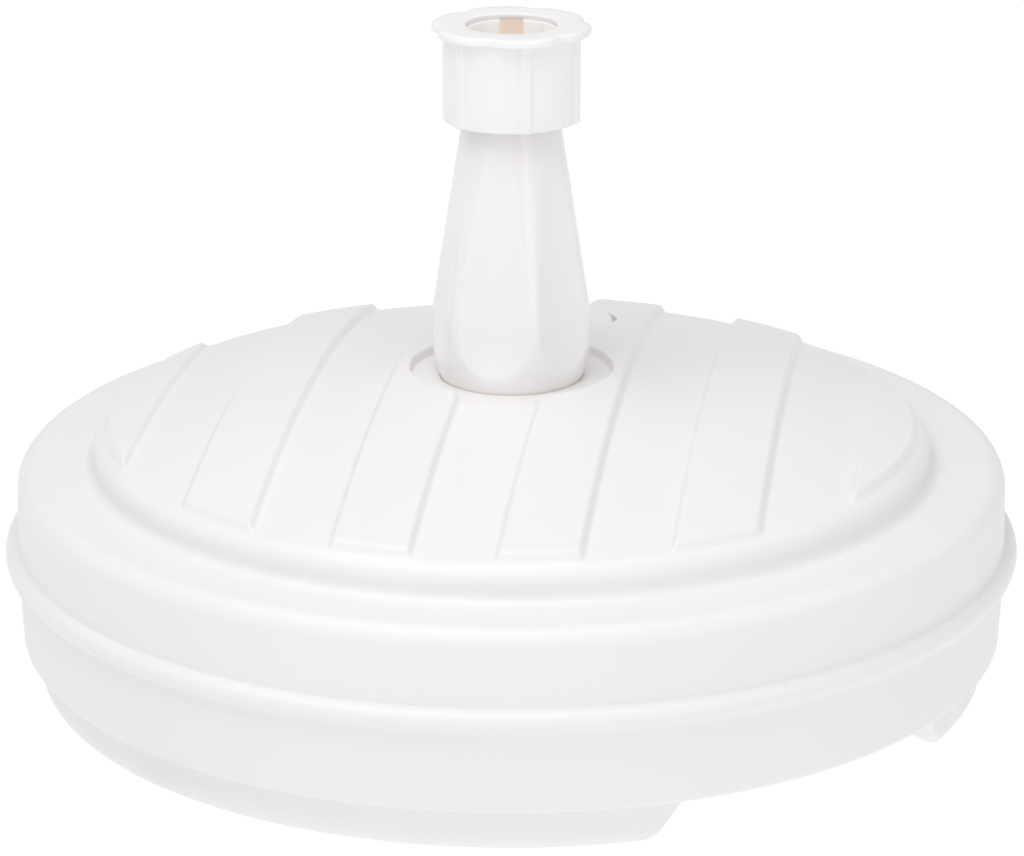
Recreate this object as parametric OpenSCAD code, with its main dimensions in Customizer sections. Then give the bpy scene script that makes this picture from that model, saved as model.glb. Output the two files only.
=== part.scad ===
// Parasol base: a round fillable tank, a fluted stem that stands in it, and a clamping collar.
// Millimetres. Z up, floor at z = 0, stem on the Z axis, the front looks towards -Y.

/* [Tank] */
// Widest diameter, over the rolled band
tank_d = 500; // [440:5:560]
// Height of the platform's dome above the floor, at the centre
dome_top = 152.5; // [140:0.5:165]
// Radius of the dome's sphere
dome_rad = 760; // [600:1:900]
// Wall thickness of the blow-moulded shell
wall = 3; // [2:0.1:4]
// Radius of the rolled band's section
band_r = 5.6; // [4:0.1:7]
// Height of the rolled band's middle
band_z = 68; // [60:0.5:76]
// Height of the top of the side wall, where the shoulder starts
wall_top = 101; // [94:0.5:108]
// Radius of the shoulder's rounding
shoulder_r = 9; // [5:0.5:12]
// Height of the flat ledge round the platform
ledge_z = 109.2; // [104:0.1:114]
// Radius of the platform at its side
platform_r = 206; // [190:0.5:215]

/* [Slats] */
// Angle of the slats to the front
slat_turn = 7.6; // [0:0.1:20]
// Distance between slat middles
slat_pitch = 76.7; // [60:0.1:90]
// Width of a slat at its top
slat_w = 35; // [20:0.5:50]
// Height of a slat
slat_h = 4; // [2:0.1:6]
// Slope of a slat's side, sideways
slat_slope = 2.2; // [0.5:0.1:4]
// Radius where the slats end, at the top
slat_end_r = 197.4; // [180:0.1:199]

/* [Feet] */
// Height of the feet, up to the underside of the step
foot_h = 22; // [15:0.5:30]
// Outer radius of the feet
foot_r = 234.5; // [220:0.5:238]
// Width of the feet, along the radius
foot_w = 38; // [25:0.5:50]
// Direction of the finger gaps, from the front towards +X
gap_turn = 38.2; // [0:0.1:90]
// Width of a finger gap at the top
gap_top_w = 150; // [80:1:180]
// Width of a finger gap at the floor
gap_low_w = 174; // [90:1:200]

/* [Well for the stem] */
// Radius of the shallow round recess
recess_r = 49.2; // [45:0.1:60]
// Height of the recess's floor
recess_z = 150.6; // [145:0.1:155]
// Radius of the well
well_r = 35.35; // [30:0.05:40]
// Height of the shoulder that carries the stem
well_z = 72; // [50:1:90]
// Radius of every hole the pole goes through
pole_r = 20.5; // [15:0.1:25]
// Height of the floor that the pole stands on
socket_z = 8; // [6:0.5:14]
// Radius of the drain hole
drain_r = 4; // [2:0.5:6]
// Width of the two lugs that stop the stem turning
lug_w = 10; // [6:0.5:14]
// How far a lug reaches in from the well's wall
lug_len = 4.2; // [2:0.1:6]
// Height of a lug above the well's shoulder
lug_h = 10; // [5:0.5:20]

/* [Filler] */
// Middle of the filler cap, towards +X
cap_x = 25.7; // [0:0.1:60]
// Middle of the filler cap, towards +Y
cap_y = 101; // [85:0.5:130]
// Radius of the cap
cap_r = 26.5; // [20:0.1:30]
// Height of the cap's top
cap_top = 147.2; // [144:0.1:150]
// Thickness of the cap's disc
cap_t = 3.2; // [2:0.1:5]
// Radius of the cap's plug
plug_r = 21.6; // [15:0.1:24]
// Length of the cap's plug, seal included
plug_len = 13; // [8:0.5:18]
// Wall thickness of the cap's plug
plug_wall = 2; // [1.5:0.1:3]
// Thickness of the seal ring
seal_t = 1; // [0.5:0.1:2]
// Gap between the plug and the neck
plug_gap = 0.3; // [0.1:0.05:0.6]

/* [Stem] */
// Radius of the stem where it enters the tank
spigot_r = 34.95; // [30:0.05:39]
// Largest radius of the stem
bulge_r = 39.6; // [36:0.1:44]
// Height of the stem's largest radius
bulge_z = 177; // [165:1:190]
// Radius of the upper curve of the bulge
bulge_up_r = 64; // [50:1:80]
// Radius of the lower curve of the bulge
bulge_low_r = 79; // [60:1:95]
// Radius of the neck under the collar
neck_r = 23.4; // [22:0.1:26]
// Height of the neck under the collar
neck_z = 280; // [270:1:290]
// Number of flutes
flutes = 6; // [4:1:8]
// Direction of the front flute, from the front towards +X
flute_turn = -13.5; // [-30:0.5:30]
// Radius of the tool that cuts a flute
flute_r = 60; // [30:1:90]
// Radius of a flute's floor at the bulge
flute_floor = 33; // [30:0.1:37]
// Slope of a flute's floor, in degrees
flute_lean = 5.4; // [3:0.1:9]

/* [Head and collet] */
// Radius of the head that carries the collar
head_r = 29.8; // [27:0.1:31]
// Height where the head starts
head_z = 289; // [285:0.5:295]
// Height of the head's top
head_top = 309; // [300:0.5:314]
// Radius of the seat at the head's top
seat_r = 26.8; // [24:0.1:28]
// Radius of the hole in the collet
collet_r = 20.8; // [18:0.1:24]
// Radius of the collet's top
collet_top_r = 26.6; // [24:0.1:28]
// Height of the collet's top
collet_top = 322.9; // [318:0.1:326]
// Width of the four slots that are open at the top
slot_w = 11.5; // [4:0.1:16]
// Width of the four slits that are open at the bottom
slit_w = 2; // [1:0.1:4]

/* [Clamping collar] */
// Radius of the collar's body between its ribs
nut_r = 33; // [32:0.1:36]
// Height of the collar's lower edge
nut_low = 279.5; // [275:0.5:284]
// Height of the collar's top
nut_top = 326; // [320:0.5:332]
// Thickness of the top plate
plate_t = 4.1; // [3:0.1:6]
// Radius of the top plate at a lobe's tip
lobe_tip = 38.5; // [36:0.1:42]
// Radius of the top plate between lobes
lobe_dip = 35.3; // [34:0.1:37]
// Half width of the dip between two lobes, in degrees
dip_turn = 9; // [5:0.5:14]
// Number of lobes and ribs
lobes = 6; // [4:1:8]
// Direction of the front rib, from the front towards +X
lobe_turn = 11.7; // [-30:0.5:30]
// Width of a rib
rib_w = 5.4; // [3:0.1:8]
// How far a rib stands out
rib_h = 1.1; // [0.5:0.1:2]
// Radius of the opening in the top plate
mouth_r = 21.8; // [20:0.1:24]
// Gap between the collar and the head
nut_gap = 0.3; // [0.1:0.05:0.6]

/* [Hidden] */
$fn = 96;
e = 0.01;

band_c = tank_d / 2 - band_r;
low_top_r = band_c - 0.1;
low_r = band_c - 1.8;
low_edge = 4;
up_r = band_c - 0.7;
top_r = band_c - 1.4;
shoulder_c = top_r - shoulder_r;
edge_r = 7;
edge_c = platform_r - edge_r;
fillet_r = 4;
dome_c = dome_top - dome_rad;
edge_tilt = 15.32;
dome_cut_r = edge_c + edge_r * sin(edge_tilt);
dome_cut_z = dome_c + sqrt(dome_rad * dome_rad - dome_cut_r * dome_cut_r);
edge_z = dome_cut_z - edge_r * cos(edge_tilt);
foot_round = 8;
foot_in_r = foot_r - foot_w;
boss_r = pole_r + wall + 3;
well_out = well_r + wall;
socket_out = pole_r + wall;
pocket_r = cap_r + 2.1;
seat_z = cap_top - cap_t - seal_t;
neck_in = plug_r + plug_gap;
neck_out = neck_in + wall;
neck_len = 17;
slope_n = slat_slope / slat_h;
seam_turn = 90 + slat_turn;
lean_tan = tan(flute_lean);
taper = 0.166;
bulge_tan = atan(taper);

// ---------- shared shapes ----------

// Point round the Z axis: angle from the front (-Y) towards +X
function dir(a) = [sin(a), -cos(a)];

// Distance of the dome from an axis through its centre, u away across the slats
function dome_at(u) = sqrt(dome_rad * dome_rad - u * u);

// Section of the dome between two radii of its sphere
module dome_section(rad, rim, low) {
    intersection() {
        translate([0, dome_c]) circle(r = rad, $fn = 360);
        translate([0, low]) square([rim, dome_top + 20 - low]);
    }
}

// ---------- tank ----------

module tank_section() {
    polygon([
        [0, foot_h],
        [low_r - low_edge, foot_h],
        [low_r - low_edge, foot_h + low_edge],
        [low_r, foot_h + low_edge],
        [low_top_r, band_z - 4],
        [up_r, band_z + 4],
        [top_r, wall_top],
        [shoulder_c, wall_top],
        [shoulder_c, wall_top + shoulder_r],
        [platform_r + 8, ledge_z],
        [0, ledge_z]
    ]);
    translate([low_r - low_edge, foot_h + low_edge]) circle(r = low_edge);
    translate([band_c, band_z]) circle(r = band_r);
    translate([shoulder_c, wall_top]) circle(r = shoulder_r);
    polygon([
        [0, ledge_z - 1],
        [platform_r, ledge_z - 1],
        [platform_r, edge_z],
        [edge_c, edge_z],
        [dome_cut_r, dome_cut_z],
        [0, dome_cut_z]
    ]);
    translate([edge_c, edge_z]) circle(r = edge_r);
    difference() {
        translate([platform_r - 1, ledge_z - 1]) square([1 + fillet_r, 1 + fillet_r]);
        translate([platform_r + fillet_r, ledge_z + fillet_r]) circle(r = fillet_r);
    }
    dome_section(dome_rad, dome_cut_r, dome_cut_z - 1);
}

module tank_hollow_section() {
    polygon([
        [0, foot_h + wall],
        [low_r - low_edge, foot_h + wall],
        [low_r - wall, foot_h + low_edge + wall - 1],
        [low_top_r - wall, band_z],
        [top_r - wall, wall_top],
        [shoulder_c, wall_top],
        [shoulder_c, wall_top + shoulder_r - wall],
        [platform_r + 8, ledge_z - wall],
        [0, ledge_z - wall]
    ]);
    translate([shoulder_c, wall_top]) circle(r = shoulder_r - wall);
    polygon([
        [0, ledge_z - wall - 1],
        [platform_r - wall, ledge_z - wall - 1],
        [platform_r - wall, edge_z],
        [edge_c, edge_z],
        [dome_cut_r - 1, dome_cut_z - wall],
        [0, dome_cut_z - wall]
    ]);
    translate([edge_c, edge_z]) circle(r = edge_r - wall);
    dome_section(dome_rad - wall, dome_cut_r - 1, dome_cut_z - wall - 1);
}

// Ring for the feet, its lower edges rounded, before the finger gaps
module foot_ring(inner, outer, low, round_r, top) {
    rotate_extrude() {
        translate([inner, low + round_r]) square([outer - inner, top - low - round_r]);
        translate([inner + round_r, low]) square([outer - inner - 2 * round_r, round_r + 1]);
        translate([inner + round_r, low + round_r]) circle(r = round_r);
        translate([outer - round_r, low + round_r]) circle(r = round_r);
    }
}

// Finger gap: a tapered slot along the radius
module finger_gap(top_w, low_w, low, top) {
    for (t = [0, 180]) {
        rotate([0, 0, gap_turn + t]) translate([0, -foot_in_r + 30, 0]) rotate([90, 0, 0])
        linear_extrude(height = foot_w + 60) polygon([
            [-low_w / 2, low], [low_w / 2, low], [top_w / 2, top], [-top_w / 2, top]
        ]);
    }
}

// One slat before its ends are cut: a band round an axis across the slats
module slat_band(mid, w, h) {
    low_a = mid - w / 2 - slope_n * (h + 6);
    low_b = mid + w / 2 + slope_n * (h + 6);
    high_a = mid - w / 2 + slope_n * 6;
    high_b = mid + w / 2 - slope_n * 6;
    rad_a = dome_at(mid - w / 2);
    rad_b = dome_at(mid + w / 2);
    translate([0, 0, dome_c]) rotate([0, 0, slat_turn]) rotate([0, 90, 0])
    rotate([0, 0, 163]) rotate_extrude(angle = 34, $fn = 720) polygon([
        [rad_a - 6, low_a],
        [rad_b - 6, low_b],
        [rad_b + h + 6, high_b],
        [rad_a + h + 6, high_a]
    ]);
}

// All six slats, cut to the platform's circle and to the dome's height
module slats(h, grow, end_r) {
    intersection() {
        union() {
            for (i = [-2.5 : 1 : 2.5]) slat_band(i * slat_pitch, slat_w + grow, h);
        }
        rotate([0, 0, seam_turn]) translate([0, 0, dome_cut_z - 12])
        cylinder(r1 = end_r + 4, r2 = end_r - 11.5, h = 62);
        rotate([0, 0, seam_turn])
        rotate_extrude($fn = 180) dome_section(dome_rad + h, end_r + 10, dome_cut_z - 8);
    }
}

module tank_outside() {
    rotate([0, 0, seam_turn]) rotate_extrude() tank_section();
    slats(slat_h, 0, slat_end_r);
    difference() {
        foot_ring(foot_in_r, foot_r, 0, foot_round, foot_h + 2);
        finger_gap(gap_top_w, gap_low_w, -1, foot_h);
    }
    translate([0, 0, 3]) cylinder(r1 = boss_r - 2, r2 = boss_r, h = foot_h);
}

module tank_hollow() {
    difference() {
        union() {
            rotate([0, 0, seam_turn]) rotate_extrude() tank_hollow_section();
            slats(slat_h - wall, -wall, slat_end_r - wall);
            difference() {
                foot_ring(foot_in_r + wall, foot_r - wall, wall, foot_round - wall, foot_h + wall + 1);
                finger_gap(gap_top_w + 2 * wall, gap_low_w + 2 * wall + 2, -1, foot_h + wall);
            }
        }
        translate([0, 0, recess_z - wall]) cylinder(r = recess_r + wall, h = 200);
        translate([0, 0, well_z - wall]) cylinder(r = well_out, h = 200);
        cylinder(r = socket_out, h = 200);
        translate([cap_x, cap_y, seat_z - neck_len]) cylinder(r = neck_out, h = 60);
        translate([cap_x, cap_y, seat_z - wall]) cylinder(r = pocket_r + wall, h = 60);
    }
}

// The well, the pole's socket and its drain, the filler's pocket and neck
module tank_bores() {
    translate([0, 0, recess_z]) cylinder(r = recess_r, h = 40);
    difference() {
        translate([0, 0, well_z]) cylinder(r = well_r, h = 200);
        for (t = [0, 180]) {
            rotate([0, 0, t]) translate([well_r - lug_len, -lug_w / 2, well_z - 1])
            cube([lug_len + 5, lug_w, lug_h + 1]);
        }
    }
    translate([0, 0, socket_z]) cylinder(r = pole_r, h = 200);
    translate([0, 0, -1]) cylinder(r = drain_r, h = 40);
    translate([cap_x, cap_y, seat_z]) cylinder(r = pocket_r, h = 40);
    translate([cap_x, cap_y, seat_z - neck_len - 1]) cylinder(r = neck_in, h = 60);
}

module tank() {
    color("#f4f3f0") difference() {
        tank_outside();
        tank_hollow();
        tank_bores();
    }
}

// ---------- filler ----------

module filler_cap() {
    color("#fafaf8") translate([cap_x, cap_y, 0]) difference() {
        union() {
            translate([0, 0, cap_top - cap_t]) cylinder(r = cap_r, h = cap_t - 0.8);
            translate([0, 0, cap_top - 0.8]) cylinder(r1 = cap_r, r2 = cap_r - 0.8, h = 0.8);
            translate([0, 0, seat_z + seal_t - plug_len]) cylinder(r = plug_r, h = plug_len + e);
        }
        translate([0, 0, seat_z - 40]) cylinder(r = plug_r - plug_wall, h = 40 + seal_t);
        rotate([0, 0, 30]) translate([-16, -2, cap_top - 1.6]) cube([32, 4, 5]);
    }
}

module filler_seal() {
    color("#3a3a3c") translate([cap_x, cap_y, seat_z]) difference() {
        cylinder(r = cap_r - 1, h = seal_t);
        translate([0, 0, -1]) cylinder(r = neck_in + 0.2, h = seal_t + 2);
    }
}

// ---------- stem ----------

// Points of the bulge from its low end up to the taper, as short cones
function bulge_point(a, r) = [bulge_r - r * (1 - cos(a)), bulge_z + r * sin(a)];

module stem_section() {
    low_a = asin((bulge_z - recess_z) / bulge_low_r);
    low_pts = [for (i = [0 : 6]) bulge_point(-low_a * (1 - i / 6), bulge_low_r)];
    up_pts = [for (i = [1 : 3]) bulge_point(bulge_tan * i / 3, bulge_up_r)];
    polygon(concat(
        [[0, well_z], [spigot_r - 1.2, well_z], [spigot_r - 0.4, well_z + 2], [spigot_r, recess_z]],
        low_pts,
        up_pts,
        [
            [neck_r, neck_z],
            [neck_r - 0.3, neck_z + 3.5],
            [head_r, head_z],
            [head_r, head_top - 1],
            [head_r - 1, head_top],
            [0, head_top]
        ]
    ));
}

// Leaning round cutter with a ball at its lower end
module flute_cutter() {
    ball_z = bulge_z + 3;
    top_z = neck_z + 2;
    out = flute_floor + flute_r / cos(flute_lean);
    translate([0, -out + 3 * lean_tan, ball_z]) {
        rotate([-flute_lean, 0, 0]) rotate_extrude($fn = 180) {
            square([flute_r, (top_z - ball_z) / cos(flute_lean)]);
            intersection() {
                circle(r = flute_r, $fn = 180);
                translate([0, -flute_r]) square([flute_r, flute_r + 0.5]);
            }
        }
    }
}

module stem_hollow() {
    low_hollow = spigot_r - 3.4;
    polygon([
        [0, well_z - 1],
        [low_hollow, well_z - 1],
        [low_hollow, recess_z + 4],
        [flute_floor - wall - 1, bulge_z + 6],
        [pole_r, neck_z - 26],
        [pole_r, head_z - 3],
        [seat_r, head_top],
        [seat_r + 0.3, head_top + 1],
        [0, head_top + 1]
    ]);
}

module stem() {
    color("#f3efe6") difference() {
        rotate_extrude() stem_section();
        for (i = [0 : flutes - 1]) rotate([0, 0, flute_turn + i * 360 / flutes]) flute_cutter();
        rotate_extrude() stem_hollow();
        for (t = [0, 180]) {
            rotate([0, 0, t]) translate([20, -lug_w / 2 - 0.3, well_z - 1])
            cube([40, lug_w + 0.6, lug_h + 1.5]);
        }
    }
}

// ---------- clamp ----------

module clamp_collet() {
    low = head_z + 7;
    seat_tan = (seat_r - pole_r) / (head_top - head_z + 3);
    low_r = pole_r + (low - head_z + 3) * seat_tan - 0.3;
    color("#f1eadb") difference() {
        rotate([0, 0, 52]) rotate_extrude() polygon([
            [collet_r, low + 0.6],
            [low_r, low],
            [collet_top_r, head_top + 1.2],
            [collet_top_r, collet_top - 1],
            [collet_top_r - 1, collet_top],
            [collet_r, collet_top]
        ]);
        for (a = [0, 90]) {
            rotate([0, 0, a]) translate([-slot_w / 2, -40, head_z + 12])
            cube([slot_w, 80, 60]);
            rotate([0, 0, a + 45]) translate([-slit_w / 2, -40, low - 5])
            cube([slit_w, 80, 26]);
        }
    }
}

// Outline of the top plate: broad lobes with narrow dips between them
module lobe_outline() {
    pitch = 360 / lobes;
    step = 3;
    polygon([for (t = [0 : step : 360 - step])
        let (d = (t - lobe_turn + 360) % pitch - pitch / 2)
        (lobe_tip - (lobe_tip - lobe_dip) * exp(-pow(d / dip_turn, 2))) * dir(t)]);
}

module clamp_collar() {
    bore = head_r + nut_gap;
    color("#fbfbfd") difference() {
        union() {
            translate([0, 0, nut_low]) cylinder(r1 = nut_r - 0.6, r2 = nut_r, h = 0.8);
            translate([0, 0, nut_low + 0.8]) cylinder(r = nut_r, h = nut_top - nut_low - 2);
            for (i = [0 : lobes - 1]) {
                rotate([0, 0, lobe_turn + i * 360 / lobes])
                translate([-rib_w / 2, -nut_r - rib_h, nut_low])
                cube([rib_w, rib_h + 3, nut_top - nut_low - 1]);
            }
            translate([0, 0, nut_top - plate_t]) linear_extrude(height = plate_t) lobe_outline();
        }
        translate([0, 0, nut_low - 1]) cylinder(r = bore, h = head_top + 3 - nut_low + 1);
        translate([0, 0, nut_low - 1]) cylinder(r = collet_top_r + 1.4, h = collet_top - nut_low + 1);
        cylinder(r = mouth_r, h = 500);
        translate([0, 0, nut_top - 0.8]) cylinder(r1 = mouth_r, r2 = mouth_r + 1, h = 1);
    }
}

tank();
filler_cap();
filler_seal();
stem();
clamp_collet();
clamp_collar();
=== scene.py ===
import math

import bmesh
import bpy
import numpy as np
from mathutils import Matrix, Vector
from mathutils.geometry import delaunay_2d_cdt


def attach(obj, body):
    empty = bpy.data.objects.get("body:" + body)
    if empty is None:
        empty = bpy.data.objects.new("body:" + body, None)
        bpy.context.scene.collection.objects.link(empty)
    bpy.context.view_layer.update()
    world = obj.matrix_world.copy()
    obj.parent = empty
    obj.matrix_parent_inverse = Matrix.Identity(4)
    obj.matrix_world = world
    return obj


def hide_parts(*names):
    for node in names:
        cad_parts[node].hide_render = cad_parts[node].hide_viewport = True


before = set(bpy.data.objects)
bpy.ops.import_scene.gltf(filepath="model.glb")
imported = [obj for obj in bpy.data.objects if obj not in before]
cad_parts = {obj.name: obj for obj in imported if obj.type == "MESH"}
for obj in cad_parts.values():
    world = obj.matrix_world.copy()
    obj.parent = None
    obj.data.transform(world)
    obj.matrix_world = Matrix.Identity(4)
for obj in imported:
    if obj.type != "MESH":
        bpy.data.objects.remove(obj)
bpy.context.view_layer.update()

MM = 0.001

# ---------------------------------------------------------------- sizes, in millimetres
WELD = 0.001                                     # points nearer than this are joined
DOME_RAD, DOME_TOP = 760.0, 152.5                # the platform's domed top
DOME_C = DOME_TOP - DOME_RAD
EDGE_C, EDGE_R = 196.0, 10.0                     # rounding of the platform's rim
EDGE_TILT = math.radians(15.15)
EDGE_T = EDGE_C + EDGE_R * math.sin(EDGE_TILT)
EDGE_Z = DOME_C + math.sqrt(DOME_RAD ** 2 - EDGE_T ** 2) - EDGE_R * math.cos(EDGE_TILT)
SLAT_TURN, SLAT_PITCH = math.radians(7.6), 76.7
SLAT_MIDDLES = [(k - 2.5) * SLAT_PITCH for k in range(6)]
SLAT_HALF, SLAT_SLOPE, SLAT_H = 17.5, 2.2, 4.0
SLAT_SOFT = 2.0                                  # how far a slat's edges are rounded
END_R, END_SLOPE, END_SOFT = 197.4, 2.4, 1.4     # the slats' outer ends
START_SLOPE, START_SOFT = 0.8, 0.6               # and their ends at the recess
RECESS_R, RECESS_Z = 49.2, 150.6
RECESS_SLOPE, RECESS_SOFT = 0.4, 0.5
WELL_R, WELL_Z = 35.35, 72.0
MOUTH_IN = 0.2                                   # the well's mouth is this much narrower
LUG_IN, LUG_HALF, LUG_H, LUG_BEVEL = 31.15, 5, 10, 0.6
POLE_R, SOCKET_Z, DRAIN_R = 20.5, 8.0, 4.0
CAP_X, CAP_Y, SEAT_Z = 25.7, 101.0, 143.0        # the filler
POCKET_R, NECK_R, NECK_LEN = 28.6, 21.9, 17.0
POCKET_EDGE = POCKET_R + 0.6                     # where the pocket's rounding starts
FILLET = (211, 114.2, 5)                         # arcs of the tank's side: r, z, radius
SHOULDER = (234, 101, 9)
BAND = (244.4, 68, 5.6)
SKIRT = (238.6, 26, 4)
FOOT_TOP, FOOT_IN, FOOT_OUT, FOOT_R = 22.0, 196.5, 234.5, 8
GAP_TURN = math.radians(38.2)                    # the two finger gaps in the foot
GAP_MIDDLES = [GAP_TURN - math.pi / 2 + side for side in (0, math.pi)]
GAP_TOP_HALF, GAP_LOW_HALF = 75.0, 87.0
PATCH_IN, PATCH_OUT = RECESS_R - 1.3, 203.6      # where the platform meets the turned skin
RECESS_COLS, END_COLS, POCKET_COLS = 240, 800, 120
GRID, GRID_ROW = 7.0, 0.866                      # filling points, and their rows' spacing


# ---------------------------------------------------------------- mesh helpers
def new_piece(name, verts, faces):
    """A smooth mesh object from points in millimetres."""
    mesh = bpy.data.meshes.new(name)
    mesh.from_pydata([(x * MM, y * MM, z * MM) for x, y, z in verts], [], faces)
    bm = bmesh.new()
    bm.from_mesh(mesh)
    bmesh.ops.remove_doubles(bm, verts=bm.verts, dist=WELD * MM)
    bmesh.ops.dissolve_degenerate(bm, dist=1e-7, edges=bm.edges)
    bmesh.ops.recalc_face_normals(bm, faces=bm.faces)
    bm.to_mesh(mesh)
    bm.free()
    mesh.shade_smooth()
    obj = bpy.data.objects.new(name, mesh)
    bpy.context.scene.collection.objects.link(obj)
    return obj


def arc(cx, cz, r, a0, a1, n):
    """Points of an arc; angles in degrees from +x towards +z."""
    return [(cx + r * math.cos(math.radians(a0 + (a1 - a0) * i / n)),
             cz + r * math.sin(math.radians(a0 + (a1 - a0) * i / n))) for i in range(n + 1)]


def rounded(points, steps=5):
    """A path of (x, z, radius) corners as plain points, each corner rounded to its radius."""
    out = []
    for i, (x, z, r) in enumerate(points):
        p = Vector((x, z))
        if r <= 0 or i in (0, len(points) - 1):
            out.append((x, z))
            continue
        a = Vector(points[i - 1][:2]) - p
        b = Vector(points[i + 1][:2]) - p
        half = a.angle(b) / 2
        cut = min(r / math.tan(half), a.length * 0.49, b.length * 0.49)
        rad = cut * math.tan(half)
        pa, pb = p + a.normalized() * cut, p + b.normalized() * cut
        centre = p + (a.normalized() + b.normalized()).normalized() * (rad / math.sin(half))
        va, vb = pa - centre, pb - centre
        turn = va.angle_signed(vb)
        for k in range(steps + 1):
            t = -turn * k / steps
            out.append((centre.x + va.x * math.cos(t) - va.y * math.sin(t),
                        centre.y + va.x * math.sin(t) + va.y * math.cos(t)))
    return out


def ramp(x, width, soft):
    """0 before x = 0, 1 after x = width, with both corners rounded over soft."""
    def area(t):
        t = np.asarray(t, float)
        return np.where(t < 0, 0, np.where(t < width, t * t / (2 * width), t - width / 2))
    return (area(np.asarray(x) + soft / 2) - area(np.asarray(x) - soft / 2)) / soft


def strips(rows, cols, first=0, wrap=False):
    """Quads between the rows of a grid whose columns run round; wrap joins last row and first."""
    faces = []
    for i in range(rows if wrap else rows - 1):
        here, below = first + i * cols, first + (i + 1) % rows * cols
        for j in range(cols):
            k = (j + 1) % cols
            faces.append((here + j, here + k, below + k, below + j))
    return faces


def turned(name, rows, angles):
    """A closed ring from rows of (radius, height); either may vary with the angle."""
    cols = len(angles)
    verts = []
    for r, z in rows:
        r = np.broadcast_to(np.asarray(r, float), (cols,))
        z = np.broadcast_to(np.asarray(z, float), (cols,))
        verts.extend(zip(r * np.cos(angles), r * np.sin(angles), z))
    return new_piece(name, verts, strips(len(rows), cols, wrap=True))


# ---------------------------------------------------------------- the tank
def base_height(r):
    """Height of the platform without its slats."""
    r = np.asarray(r, float)
    dome = DOME_C + np.sqrt(DOME_RAD ** 2 - np.minimum(r, EDGE_T) ** 2)
    rim = EDGE_Z + np.sqrt(np.maximum(EDGE_R ** 2 - np.maximum(r - EDGE_C, 0) ** 2, 0))
    z = np.where(r < EDGE_T, dome, rim)
    sink = 1 - ramp(r - RECESS_R, RECESS_SLOPE, RECESS_SOFT)
    return z + (RECESS_Z - z) * sink


def slat_height(x, y):
    """How far the slats stand up at a point."""
    u = x * math.cos(SLAT_TURN) - y * math.sin(SLAT_TURN)
    r = np.hypot(x, y)
    lift = np.zeros_like(r)
    for middle in SLAT_MIDDLES:
        away = np.abs(u - middle) - SLAT_HALF
        lift = np.maximum(lift, 1 - ramp(away, SLAT_SLOPE, SLAT_SOFT))
    end = 1 - ramp(r - END_R, END_SLOPE, END_SOFT)
    start = ramp(r - RECESS_R, START_SLOPE, START_SOFT)
    return SLAT_H * lift * end * start


def evenly(n):
    return [2 * math.pi * i / n for i in range(n)]


def ring(cx, cy, r, angles):
    return [(cx + r * math.cos(a), cy + r * math.sin(a)) for a in angles]


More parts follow.
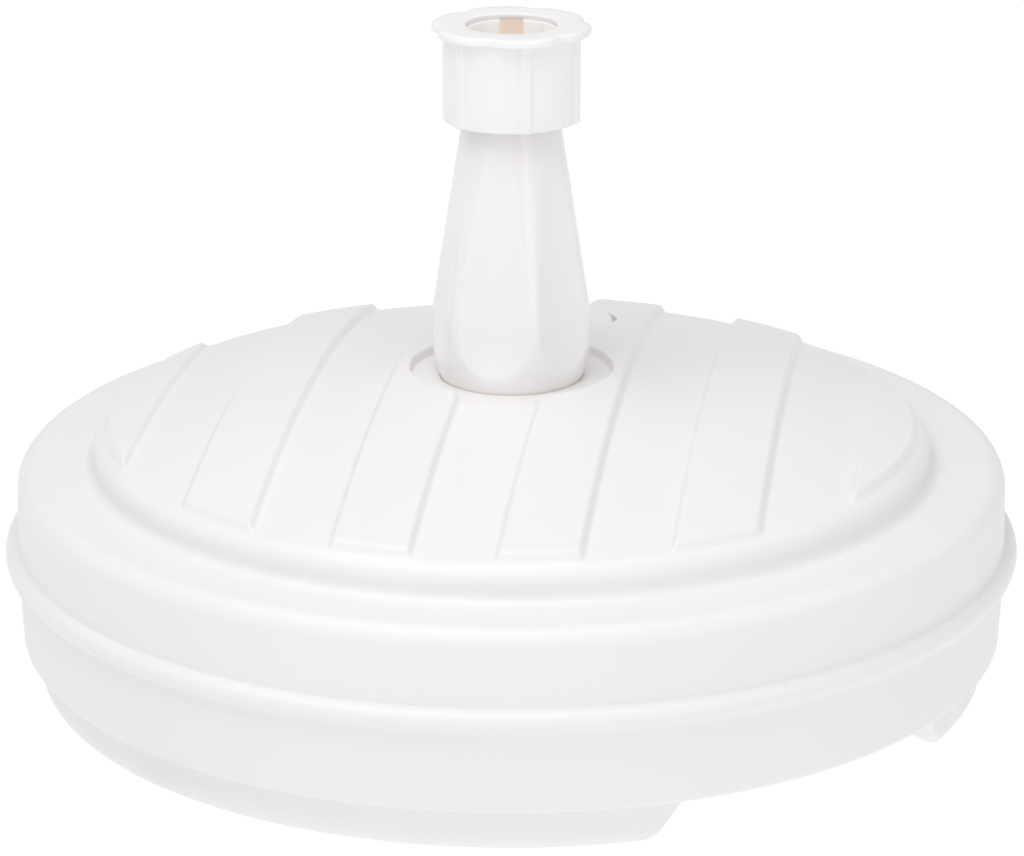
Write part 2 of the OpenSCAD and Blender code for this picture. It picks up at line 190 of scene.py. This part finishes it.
def platform_patch(angles):
    """The platform from the recess to its rim, with the filler's pocket left open.

    Returns its points, its faces and its three rims: outer, inner and the pocket's.
    """
    pts, edges = [], []

    def chain(ps, closed=False):
        first = len(pts)
        pts.extend(ps)
        edges.extend((first + i, first + i + 1) for i in range(len(ps) - 1))
        if closed:
            edges.append((first + len(ps) - 1, first))
        return list(range(first, first + len(ps)))

    def inside(x, y, gap=0.3):
        r = math.hypot(x, y)
        pocket = math.hypot(x - CAP_X, y - CAP_Y)
        return PATCH_IN + gap < r < PATCH_OUT - gap and pocket > POCKET_EDGE + gap

    ux, uy = math.cos(SLAT_TURN), -math.sin(SLAT_TURN)
    vx, vy = math.sin(SLAT_TURN), math.cos(SLAT_TURN)
    # lines along the slats' edges, then rings round recess, slat ends and pocket
    steps = (-1.2, -0.75, -0.4, 0, 0.4, 0.75, 1.1, 1.45, 1.8, 2.2, 2.6, 2.95, 3.6)
    for middle in SLAT_MIDDLES:
        for side in (-1, 1):
            for s in steps:
                u = middle + side * (SLAT_HALF + s)
                if abs(u) > PATCH_OUT - 1:
                    continue
                half = math.sqrt(PATCH_OUT ** 2 - u * u)
                n = int(2 * half / 5) + 1
                run = []
                for i in range(n + 1):
                    v = -half + 2 * half * i / n
                    p = (u * ux + v * vx, u * uy + v * vy)
                    if inside(*p):
                        run.append(p)
                    else:
                        if len(run) > 1:
                            chain(run)
                        run = []
                if len(run) > 1:
                    chain(run)
    for r in (-0.8, -0.5, -0.2, 0, 0.2, 0.45, 0.7, 1.0, 1.4, 2.4):
        chain(ring(0, 0, RECESS_R + r, evenly(RECESS_COLS)), closed=True)
    for r in (-2.0, -1.0, -0.5, 0, 0.5, 1.0, 1.5, 2.0, 2.4, 2.9, 3.8, 4.8):
        chain(ring(0, 0, END_R + r, evenly(END_COLS)), closed=True)
    for r in (0.9, 1.4, 2.4):
        chain(ring(CAP_X, CAP_Y, POCKET_R + r, evenly(POCKET_COLS)), closed=True)
    outer = chain(ring(0, 0, PATCH_OUT, angles), closed=True)
    inner = chain(ring(0, 0, PATCH_IN, angles), closed=True)
    pocket = chain(ring(CAP_X, CAP_Y, POCKET_EDGE, evenly(POCKET_COLS)), closed=True)
    for j in range(-34, 35):
        for i in range(-30, 31):
            x, y = GRID * (i + 0.5 * (j % 2)), GRID * j * GRID_ROW
            if inside(x, y, 1.5):
                pts.append((x, y))
    got = delaunay_2d_cdt([Vector(p) for p in pts], edges, [], 0, 1e-6)
    where, faces, origins = got[0], got[2], got[3]
    xy = np.array([(p.x, p.y) for p in where])
    z = base_height(np.hypot(xy[:, 0], xy[:, 1])) + slat_height(xy[:, 0], xy[:, 1])
    kept = []
    for f in faces:
        c = xy[list(f)].mean(0)
        if (PATCH_IN <= math.hypot(*c) <= PATCH_OUT
                and math.hypot(c[0] - CAP_X, c[1] - CAP_Y) >= POCKET_EDGE):
            kept.append(tuple(f))
    back = {}
    for new, olds in enumerate(origins):
        for old in olds:
            back[old] = new
    rims = [[back[i] for i in rim] for rim in (outer, inner, pocket)]
    points = [(xy[i, 0], xy[i, 1], z[i]) for i in range(len(xy))]
    return points, kept, rims


def tank_profile():
    """The tank's skin from the platform's rim down the wall, underneath, and up the well.

    Returns the path and the range of its points that belong to the foot.
    """
    # platform's rim, fillet and ledge
    start = math.degrees(math.acos((PATCH_OUT - EDGE_C) / EDGE_R))
    path = arc(EDGE_C, EDGE_Z, EDGE_R, start, 6, 7)[1:]
    path += arc(*FILLET, 180, 270, 8)
    path += [(212.5, 109.2), (214, 109.21), (218, 109.28), (222, 109.42), (226, 109.6),
             (230, 109.82)]
    # shoulder, upper wall, band and lower wall
    path += arc(*SHOULDER, 90, 0, 12)
    path += [(243.15, 95), (243.35, 86), (243.6, 77.5)]
    path += rounded([(243.6, 77.5, 0), (243.7, 73.5, 1.3), (245.6, 73.45, 0)], 5)[1:]
    path += arc(*BAND, 68, -68, 18)
    path += rounded([(246.2, 62.7, 0), (244.3, 62.35, 1.3), (244.1, 57, 0)], 5)[1:]
    path += [(243.6, 48), (243.1, 38), (242.8, 31)]
    path += arc(*SKIRT, 2, -90, 8)
    path += [(237.2, FOOT_TOP)]
    # foot
    foot_from = len(path)
    path += rounded([(236.4, FOOT_TOP, 0), (234.6, FOOT_TOP, 1.2), (FOOT_OUT, 19, 0)], 4)
    path += [(FOOT_OUT, 14)]
    path += arc(FOOT_OUT - FOOT_R, FOOT_R, FOOT_R, 0, -90, 9)
    path += [((FOOT_OUT + FOOT_IN) / 2, 0)]
    path += arc(FOOT_IN + FOOT_R, FOOT_R, FOOT_R, -90, -180, 9)
    path += [(FOOT_IN, 14)]
    path += rounded([(FOOT_IN, 19, 0), (196.4, FOOT_TOP, 1.2), (194.6, FOOT_TOP, 0)], 4)
    foot_to = len(path)
    # underside, boss with the drain, pole socket and well
    path += [(r, FOOT_TOP) for r in (186, 150, 100, 60, 32)]
    path += rounded([(30, FOOT_TOP, 0), (26.2, FOOT_TOP, 1.5), (24.5, 3, 1.5),
                     (DRAIN_R, 3, 0.8), (DRAIN_R, 6, 0)], 4)
    path += rounded([(DRAIN_R, 6.5, 0), (DRAIN_R, SOCKET_Z, 0.5), (10, SOCKET_Z, 0)], 3)
    path += rounded([(16, SOCKET_Z, 0), (POLE_R, SOCKET_Z, 1.5), (POLE_R, 14, 0)], 4)
    path += [(POLE_R, 40)]
    path += rounded([(POLE_R, 66, 0), (POLE_R, WELL_Z, 1), (26, WELL_Z, 0)], 4)
    path += rounded([(32, WELL_Z, 0), (WELL_R, WELL_Z, 1), (WELL_R, 76, 0)], 4)
    path += [(WELL_R, 100), (WELL_R, 130), (WELL_R, 145)]
    path += rounded([(WELL_R - MOUTH_IN, 148, 0), (WELL_R - MOUTH_IN, RECESS_Z, 0.35),
                     (39, RECESS_Z, 0)], 4)
    path += [(42, RECESS_Z), (RECESS_R - 3, RECESS_Z)]
    return path, foot_from, foot_to


def foot_share(t):
    """How much of the foot's depth there is, t across from the middle of a finger gap."""
    line = rounded([(GAP_TOP_HALF - 12, 0, 0), (GAP_TOP_HALF, 0, 2.5), (GAP_LOW_HALF, FOOT_TOP, 9),
                    (GAP_LOW_HALF + 20, FOOT_TOP, 0)], 14)
    return np.interp(t, [p[0] for p in line], [p[1] / FOOT_TOP for p in line])


def box_shell(x0, x1, y0, y1, z0, z1, bevel):
    """A small closed box with rounded edges, as points and faces."""
    bm = bmesh.new()
    bmesh.ops.create_cube(bm, size=1)
    for v in bm.verts:
        v.co = Vector(((x0 + x1) / 2 + v.co.x * (x1 - x0), (y0 + y1) / 2 + v.co.y * (y1 - y0),
                       (z0 + z1) / 2 + v.co.z * (z1 - z0)))
    bmesh.ops.bevel(bm, geom=bm.edges[:], offset=bevel, segments=3, profile=0.5, affect="EDGES")
    bm.verts.index_update()
    verts = [tuple(v.co) for v in bm.verts]
    faces = [tuple(v.index for v in f.verts) for f in bm.faces]
    bm.free()
    return verts, faces


def make_tank():
    # one column a degree, and three a degree where the finger gaps end
    step = math.radians(1)
    angles = [i * step for i in range(360)]
    for middle in GAP_MIDDLES:
        for way in (-1, 1):
            for i in range(34):
                a = middle + way * math.radians(18 + i / 3)
                if abs(math.degrees(a) - round(math.degrees(a))) > 0.12:
                    angles.append(a % (2 * math.pi))
    angles = sorted(angles)
    verts, faces, rims = platform_patch(angles)
    outer, inner, pocket = rims
    path, foot_from, foot_to = tank_profile()
    cols = len(angles)
    a = np.array(angles)
    first = len(verts)
    for i, (r, z) in enumerate(path):
        height = np.full(cols, float(z))
        if foot_from <= i < foot_to:
            share = np.ones(cols)
            for middle in GAP_MIDDLES:
                off = a - middle
                across = np.where(np.cos(off) > 0, np.abs(r * np.sin(off)), 1e3)
                share = np.minimum(share, foot_share(across))
            height = FOOT_TOP - (FOOT_TOP - height) * share
        verts.extend(zip(r * np.cos(a), r * np.sin(a), height))
    faces += strips(len(path), cols, first)
    last = first + (len(path) - 1) * cols
    for j in range(cols):
        k = (j + 1) % cols
        faces.append((outer[j], outer[k], first + k, first + j))
        faces.append((last + j, last + k, inner[k], inner[j]))
    # the filler's pocket, its seat and the neck, down to the neck's rounded end
    n = len(pocket)
    top = np.array([verts[i][2] for i in pocket])
    neck_end = SEAT_Z - NECK_LEN
    wall = [(POCKET_R + 0.25, top - 0.15), (POCKET_R + 0.05, top - 0.4), (POCKET_R, top - 0.75),
            (POCKET_R, SEAT_Z + 0.5), (POCKET_R - 0.15, SEAT_Z + 0.15), (POCKET_R - 0.5, SEAT_Z),
            (NECK_R + 1.2, SEAT_Z), (NECK_R + 0.25, SEAT_Z - 0.15), (NECK_R, SEAT_Z - 0.9),
            (NECK_R, neck_end + 1), (NECK_R + 0.4, neck_end), (NECK_R + 2.6, neck_end),
            (NECK_R + 3, neck_end + 1), (NECK_R + 3, SEAT_Z - 3)]
    before = pocket
    for r, z in wall:
        now = len(verts)
        z = np.broadcast_to(np.asarray(z, float), (n,))
        verts.extend((x, y, float(z[j]))
                     for j, (x, y) in enumerate(ring(CAP_X, CAP_Y, r, evenly(n))))
        for j in range(n):
            k = (j + 1) % n
            faces.append((before[j], before[k], now + k, now + j))
        before = list(range(now, now + n))
    # the lugs that stop the stem turning
    for side in (-1, 1):
        x = sorted((side * LUG_IN, side * (WELL_R + 0.4)))
        points, quads = box_shell(x[0], x[1], -LUG_HALF, LUG_HALF,
                                  WELL_Z - 0.5, WELL_Z + LUG_H, LUG_BEVEL)
        start = len(verts)
        verts.extend(points)
        faces.extend(tuple(start + i for i in q) for q in quads)
    return new_piece("tank_skin", verts, faces)


# ---------------------------------------------------------------- the stem
BULGE_R, BULGE_Z, BULGE_UP, BULGE_LOW = 39.6, 177.0, 64.0, 79.0
SPIGOT_R, NECK_TOP_R, NECK_TOP_Z = 34.95, 23.4, 280.0
TAPER = math.atan(0.166)
FLUTES, FLUTE_TURN, FLUTE_R, FLUTE_FLOOR = 6, math.radians(-13.5), 60.0, 33.0
FLUTE_LEAN, FLUTE_SOFT = math.radians(5.4), 1.5
FLUTE_BALL_UP = 3                                # a flute's round end sits this far over the bulge
NOTCH_HALF, NOTCH_TOP = 5.3, 82.5                # the notches that fit over the lugs
HEAD_R, HEAD_Z, HEAD_TOP, SEAT_R = 29.8, 289.0, 309.0, 26.8


def stem_radius(z):
    """Radius of the stem before its flutes are cut, above the tank."""
    z = np.asarray(z, float)
    low = BULGE_R - BULGE_LOW + np.sqrt(np.maximum(BULGE_LOW ** 2 - (z - BULGE_Z) ** 2, 0))
    up = BULGE_R - BULGE_UP + np.sqrt(np.maximum(BULGE_UP ** 2 - (z - BULGE_Z) ** 2, 0))
    z_t = BULGE_Z + BULGE_UP * math.sin(TAPER)
    r_t = BULGE_R - BULGE_UP * (1 - math.cos(TAPER))
    cone = r_t + (NECK_TOP_R - r_t) * (z - z_t) / (NECK_TOP_Z - z_t)
    return np.where(z < BULGE_Z, low, np.where(z < z_t, up, cone))


def flute_radius(z, off):
    """Radius of the flute's surface at an angle off its middle, or a large number outside it."""
    ball_z = BULGE_Z + FLUTE_BALL_UP
    lean = math.tan(FLUTE_LEAN)
    away = FLUTE_FLOOR + FLUTE_R / math.cos(FLUTE_LEAN) - FLUTE_BALL_UP * lean
    d = away - np.maximum(z - ball_z, 0) * lean
    size = np.sqrt(np.maximum(FLUTE_R ** 2 - np.minimum(z - ball_z, 0) ** 2, 0))
    inside = size ** 2 - (d * np.sin(off)) ** 2
    near = d * np.cos(off) - np.sqrt(np.maximum(inside, 0))
    return np.where((inside > 0) & (np.cos(off) > 0), near, 1e3)


def soft_min(a, b, k):
    """The smaller of two values, with the change between them rounded over k."""
    h = np.clip(0.5 + 0.5 * (b - a) / k, 0, 1)
    return b * (1 - h) + a * h - k * h * (1 - h)


def make_stem():
    cols = 480
    a = np.arange(cols) * 2 * math.pi / cols
    notch = np.abs(SPIGOT_R * np.sin(a)) < NOTCH_HALF
    rows = [(31.55, 73.0), (31.9, WELL_Z + 0.02), (SPIGOT_R - 1.2, WELL_Z + 0.02),
            (SPIGOT_R - 0.6, 73.0), (SPIGOT_R - 0.4, 76.0), (SPIGOT_R - 0.3, 82.6),
            (SPIGOT_R - 0.2, 110), (SPIGOT_R, 148.0)]
    for z in list(np.arange(150.3, 279.3, 1.5)) + [NECK_TOP_Z]:
        r = np.full(cols, float(stem_radius(z)))
        for k in range(FLUTES):
            off = (a + math.pi / 2) - (FLUTE_TURN + k * 2 * math.pi / FLUTES)
            off = (off + math.pi) % (2 * math.pi) - math.pi
            r = soft_min(r, flute_radius(np.full(cols, z), off), FLUTE_SOFT)
        rows.append((r, z))
    # the head, its seat for the collet, the pole's guide and the hollow inside
    rows += [(NECK_TOP_R - 0.3, 283.5), (26.5, 286.4), (HEAD_R - 0.4, HEAD_Z - 0.35),
             (HEAD_R, HEAD_Z + 0.4), (HEAD_R, 298), (HEAD_R, HEAD_TOP - 1),
             (HEAD_R - 0.3, HEAD_TOP - 0.25), (HEAD_R - 1, HEAD_TOP), (SEAT_R + 0.4, HEAD_TOP),
             (SEAT_R - 0.1, HEAD_TOP - 0.3), (23.9, 298.5), (POLE_R + 0.1, 286.4),
             (POLE_R, 285.4), (POLE_R, 270), (POLE_R, 254.5), (POLE_R + 0.1, 253.4),
             (24, 229), (28.9, 184), (30.6, 160), (31.55, 154), (31.55, 120), (31.55, 90),
             (31.55, 82.6)]
    rows = [(r, np.where(notch & (z < NOTCH_TOP), NOTCH_TOP, z)) for r, z in rows]
    return turned("stem_shell", rows, a)


# ---------------------------------------------------------------- the collar
NUT_R, NUT_LOW, NUT_TOP, PLATE_T = 33.0, 279.5, 326.0, 4.1
LOBE_TIP, LOBE_DIP, LOBES, LOBE_TURN = 38.5, 35.3, 6, math.radians(11.7)
DIP_TURN = math.radians(9)
RIB_HALF, RIB_H, MOUTH_R = 2.7, 1.1, 21.8
# the collar's painted shade and glow go on faces inside this radius and between these heights
BORE_R, BORE_LOW, BORE_HIGH = 28.6, 311.0, 322.97   # the part of the bore seen through the collet


def make_collar():
    angles = set(round(math.radians(2 * i), 6) for i in range(180))
    for k in range(LOBES):
        middle = LOBE_TURN - math.pi / 2 + k * 2 * math.pi / LOBES
        for side in (-1, 1):
            for s in (-0.7, -0.45, -0.2, 0.05, 0.3, 0.55, 0.8):
                angles.add(round((middle + side * (RIB_HALF + s) / NUT_R) % (2 * math.pi), 6))
    a = np.array(sorted(angles))
    off = (a + math.pi / 2 - LOBE_TURN + math.pi / LOBES) % (2 * math.pi / LOBES) - math.pi / LOBES
    rib = 1 - ramp(np.abs(off) * NUT_R - RIB_HALF, 0.35, 0.7)
    body = NUT_R + RIB_H * rib
    from_dip = math.pi / LOBES - np.abs(off)
    lobe = LOBE_TIP - (LOBE_TIP - LOBE_DIP) * np.exp(-(from_dip / DIP_TURN) ** 2)
    low_plate = NUT_TOP - PLATE_T
    rows = [(30.4, NUT_LOW), (body - 1.0, NUT_LOW), (body - 0.45, NUT_LOW + 0.12),
            (body - 0.1, NUT_LOW + 0.5), (body, NUT_LOW + 1.1), (body, NUT_LOW + 12),
            (body, NUT_LOW + 26), (body, low_plate - 1.6), (body + 0.15, low_plate - 0.7),
            (body + 0.6, low_plate - 0.15), (np.maximum(body + 1.0, lobe - 1.2), low_plate),
            (lobe - 0.5, low_plate + 0.1), (lobe - 0.1, low_plate + 0.5),
            (lobe, low_plate + 1.1), (lobe, NUT_TOP - 1.7), (lobe - 0.15, NUT_TOP - 0.9),
            (lobe - 0.6, NUT_TOP - 0.3), (lobe - 1.4, NUT_TOP), (lobe * 0.5 + 14.5, NUT_TOP),
            (MOUTH_R + 1.3, NUT_TOP), (MOUTH_R + 0.6, NUT_TOP - 0.12),
            (MOUTH_R + 0.15, NUT_TOP - 0.5), (MOUTH_R, NUT_TOP - 1.1), (MOUTH_R, 323.4),
            (MOUTH_R + 0.3, 322.95), (27.4, 322.92), (28.0, 322.4), (28.0, 312.6),
            (28.3, 312.0), (29.8, 312.0), (30.1, 311.6), (30.1, 300), (30.1, 288),
            (30.1, NUT_LOW + 0.4)]
    return turned("collar_shell", rows, a)


# ---------------------------------------------------------------- materials
def paint_warm_shade_ring(nodes, links, place, colour, near, width, height, half, share, shade_tint):
    """Tints the colour on a ring round the part's axis with painted warm shade, in place of the
    light that comes through the plastic in a recess.

    The ring is at radius near, fades out over width, and keeps within half of a height.
    """
    split = nodes.new("ShaderNodeSeparateXYZ")
    flat = nodes.new("ShaderNodeCombineXYZ")
    length = nodes.new("ShaderNodeVectorMath")
    length.operation = "LENGTH"
    links.new(place.outputs["Object"], split.inputs["Vector"])
    links.new(split.outputs["X"], flat.inputs["X"])
    links.new(split.outputs["Y"], flat.inputs["Y"])
    links.new(flat.outputs["Vector"], length.inputs[0])
    off = nodes.new("ShaderNodeMath")
    off.operation = "SUBTRACT"
    off.inputs[1].default_value = near * MM
    links.new(length.outputs["Value"], off.inputs[0])
    away = nodes.new("ShaderNodeMath")
    away.operation = "ABSOLUTE"
    links.new(off.outputs["Value"], away.inputs[0])
    fade = nodes.new("ShaderNodeMapRange")
    fade.interpolation_type = "SMOOTHSTEP"
    fade.inputs["From Max"].default_value = width * MM
    fade.inputs["To Min"].default_value, fade.inputs["To Max"].default_value = share, 0.0
    links.new(away.outputs["Value"], fade.inputs["Value"])
    low = nodes.new("ShaderNodeMath")
    low.operation = "COMPARE"
    low.inputs[1].default_value = height * MM
    low.inputs[2].default_value = half * MM
    links.new(split.outputs["Z"], low.inputs[0])
    both = nodes.new("ShaderNodeMath")
    both.operation = "MULTIPLY"
    links.new(fade.outputs["Result"], both.inputs[0])
    links.new(low.outputs["Value"], both.inputs[1])
    mix = nodes.new("ShaderNodeMix")
    mix.data_type = "RGBA"
    mix.inputs["B"].default_value = (*shade_tint, 1)
    links.new(colour, mix.inputs["A"])
    links.new(both.outputs["Value"], mix.inputs["Factor"])
    return mix.outputs["Result"]


def material(name, colour, warm, rough, rough_vary, grain, grain_depth, wave, wave_depth,
             glow=0.0, coat=0.0, coat_rough=0.1, painted_shade_rings=()):
    """Moulded plastic: faint colour drift, uneven gloss, fine orange peel and slow waviness.

    Hard-edged blotches were seen while roughness ranges crossed 0.274, so none does now. They
    went when the ranges were raised, together with other edits; the cause wasn't tested alone.
    """
    mat = bpy.data.materials.new(name)
    mat.use_nodes = True
    nodes, links = mat.node_tree.nodes, mat.node_tree.links
    shader = nodes["Principled BSDF"]
    place = nodes.new("ShaderNodeTexCoord")

    def noise(scale, detail, rough_value=0.55):
        n = nodes.new("ShaderNodeTexNoise")
        n.inputs["Scale"].default_value = scale
        n.inputs["Detail"].default_value = detail
        n.inputs["Roughness"].default_value = rough_value
        links.new(place.outputs["Object"], n.inputs["Vector"])
        return n

    def spread(source, low, high, to_low, to_high):
        r = nodes.new("ShaderNodeMapRange")
        r.inputs["From Min"].default_value, r.inputs["From Max"].default_value = low, high
        r.inputs["To Min"].default_value, r.inputs["To Max"].default_value = to_low, to_high
        links.new(source, r.inputs["Value"])
        return r.outputs["Result"]

    drift = noise(9.0, 3.0)
    mix = nodes.new("ShaderNodeMix")
    mix.data_type = "RGBA"
    mix.inputs["A"].default_value = (*colour, 1)
    mix.inputs["B"].default_value = (*warm, 1)
    links.new(spread(drift.outputs["Fac"], 0.3, 0.7, 0, 1), mix.inputs["Factor"])
    colour_out = mix.outputs["Result"]
    # painted warm shade on rings in a recess, in place of the light through the plastic there
    for shade_ring_values in painted_shade_rings:
        colour_out = paint_warm_shade_ring(nodes, links, place, colour_out, *shade_ring_values)
    links.new(colour_out, shader.inputs["Base Color"])
    gloss = noise(55.0, 4.0)
    links.new(spread(gloss.outputs["Fac"], 0.3, 0.7, rough - rough_vary, rough + rough_vary),
              shader.inputs["Roughness"])
    fine = noise(grain, 2.0)
    slow = noise(wave, 2.0)
    low_bump = nodes.new("ShaderNodeBump")
    low_bump.inputs["Strength"].default_value = 1.0
    low_bump.inputs["Distance"].default_value = wave_depth
    links.new(slow.outputs["Fac"], low_bump.inputs["Height"])
    bump = nodes.new("ShaderNodeBump")
    bump.inputs["Strength"].default_value = 1.0
    bump.inputs["Distance"].default_value = grain_depth
    links.new(fine.outputs["Fac"], bump.inputs["Height"])
    links.new(low_bump.outputs["Normal"], bump.inputs["Normal"])
    links.new(bump.outputs["Normal"], shader.inputs["Normal"])
    shader.inputs["Specular IOR Level"].default_value = 0.5
    # a glow above zero is painted light: emission standing in for light through the plastic
    shader.inputs["Emission Color"].default_value = (*colour, 1)
    shader.inputs["Emission Strength"].default_value = glow
    shader.inputs["Coat Weight"].default_value = coat
    shader.inputs["Coat Roughness"].default_value = coat_rough
    return mat


# the tank's two rings are painted warm shade, on the recess wall and at the well's mouth beside
# the stem
TANK = material("tank_plastic", (0.890, 0.874, 0.882), (0.880, 0.862, 0.870), 0.42, 0.05,
                grain=1500.0, grain_depth=0.00003, wave=34.0, wave_depth=0.0005,
                painted_shade_rings=((49.2, 1.3, 150.0, 1.2, 0.7, (0.88, 0.80, 0.72)),
                            (34.5, 3.0, 149.0, 2.2, 0.7, (0.88, 0.76, 0.64))))
# the stem's ring is painted warm shade at its foot, down in the recess
STEM = material("stem_plastic", (0.885, 0.870, 0.866), (0.877, 0.858, 0.848), 0.34, 0.03,
                grain=700.0, grain_depth=0.00001, wave=60.0, wave_depth=0.0002,
                coat=0.4, coat_rough=0.12,
                painted_shade_rings=((33.0, 5.0, 150.0, 1.8, 0.5, (0.89, 0.80, 0.70)),))
COLLAR = material("collar_plastic", (0.905, 0.889, 0.897), (0.895, 0.879, 0.887), 0.34, 0.03,
                  grain=900.0, grain_depth=0.00001, wave=60.0, wave_depth=0.00012)
# the collet's faint glow and the bore's stronger one stand in for light through the plastic; the
# bore's dark tan colour is painted shade inside the collar
COLLET = material("collet_plastic", (0.86, 0.845, 0.83), (0.85, 0.83, 0.81), 0.4, 0.05,
                  grain=1100.0, grain_depth=0.00002, wave=60.0, wave_depth=0.0001, glow=0.16)
BORE_SHADE_AND_GLOW = material("collar_bore_painted_shade", (0.64, 0.55, 0.48), (0.62, 0.52, 0.45), 0.4, 0.05,
                grain=900.0, grain_depth=0.00001, wave=60.0, wave_depth=0.00012, glow=0.62)
CAP = material("cap_plastic", (0.885, 0.876, 0.876), (0.875, 0.866, 0.866), 0.36, 0.04,
               grain=1500.0, grain_depth=0.00002, wave=60.0, wave_depth=0.0001)
SEAL = material("seal_rubber", (0.035, 0.035, 0.037), (0.05, 0.05, 0.05), 0.7, 0.06,
                grain=1800.0, grain_depth=0.00004, wave=90.0, wave_depth=0.0001)


def dress(obj, mat):
    obj.data.materials.clear()
    obj.data.materials.append(mat)


def soften(obj, width):
    """Rounds a CAD node's sharp edges a little with modifiers; its mesh stays as it is."""
    weld = obj.modifiers.new("weld", "WELD")
    weld.merge_threshold = 0.000002
    bevel = obj.modifiers.new("bevel", "BEVEL")
    bevel.width = width
    bevel.segments = 3
    bevel.limit_method = "ANGLE"
    bevel.angle_limit = math.radians(30)
    bevel.harden_normals = True


# ---------------------------------------------------------------- pieces
tank = make_tank()
dress(tank, TANK)
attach(tank, "base")
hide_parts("tank")

stem = make_stem()
dress(stem, STEM)
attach(stem, "stem")
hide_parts("stem")

collar = make_collar()
dress(collar, COLLAR)
# the collar's faces inside the bore take the painted shade and glow
collar.data.materials.append(BORE_SHADE_AND_GLOW)
for face in collar.data.polygons:
    x, y, z = face.center
    if math.hypot(x, y) < BORE_R * MM and BORE_LOW * MM < z < BORE_HIGH * MM:
        face.material_index = 1
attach(collar, "collar")
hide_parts("clamp_collar")

for node, mat, width in (("clamp_collet", COLLET, 0.0003), ("filler_cap", CAP, 0.0005),
                         ("filler_seal", SEAL, 0.0002)):
    dress(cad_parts[node], mat)
    soften(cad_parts[node], width)

# ---------------------------------------------------------------- floor, light and camera
bpy.ops.mesh.primitive_plane_add(size=90, location=(0, 0, 0))
floor = bpy.context.object
floor.name = "floor"
floor_mat = bpy.data.materials.new("floor_white")
floor_mat.use_nodes = True
floor_shader = floor_mat.node_tree.nodes["Principled BSDF"]
floor_shader.inputs["Base Color"].default_value = (0.06, 0.06, 0.06, 1)
floor_shader.inputs["Roughness"].default_value = 1.0
floor_shader.inputs["Specular IOR Level"].default_value = 0.0
floor_shader.inputs["Emission Color"].default_value = (1, 1, 1, 1)
floor_shader.inputs["Emission Strength"].default_value = 0.97
floor.data.materials.append(floor_mat)

world = bpy.data.worlds.new("studio")
bpy.context.scene.world = world
world.use_nodes = True
world.node_tree.nodes["Background"].inputs["Color"].default_value = (1, 1, 1, 1)
world.node_tree.nodes["Background"].inputs["Strength"].default_value = 0.60


def softbox(name, where, look_at, size, power):
    data = bpy.data.lights.new(name, "AREA")
    data.shape = "RECTANGLE"
    data.size, data.size_y = size
    data.energy = power
    lamp = bpy.data.objects.new(name, data)
    lamp.location = where
    lamp.rotation_euler = (Vector(look_at) - Vector(where)).to_track_quat("-Z", "Y").to_euler()
    bpy.context.scene.collection.objects.link(lamp)


softbox("key", (-0.25, -0.45, 1.6), (0, 0, 0.1), (1.5, 1.5), 12.5)
softbox("strip_left", (-0.95, -2.0, 0.75), (0, 0, 0.2), (0.6, 1.3), 1.6)
softbox("strip_right", (1.1, -1.9, 0.75), (0, 0, 0.2), (0.6, 1.3), 3.6)

camera_data = bpy.data.cameras.new("camera")
camera = bpy.data.objects.new("camera", camera_data)
bpy.context.scene.collection.objects.link(camera)
camera.location = (0.0003, -1.871, 0.756)
camera.rotation_euler = (math.radians(71.28), 0, 0)
camera_data.sensor_width = 36
camera_data.lens = 140.66
camera_data.clip_start, camera_data.clip_end = 0.05, 100
bpy.context.scene.camera = camera
bpy.context.scene.view_settings.view_transform = "Standard"
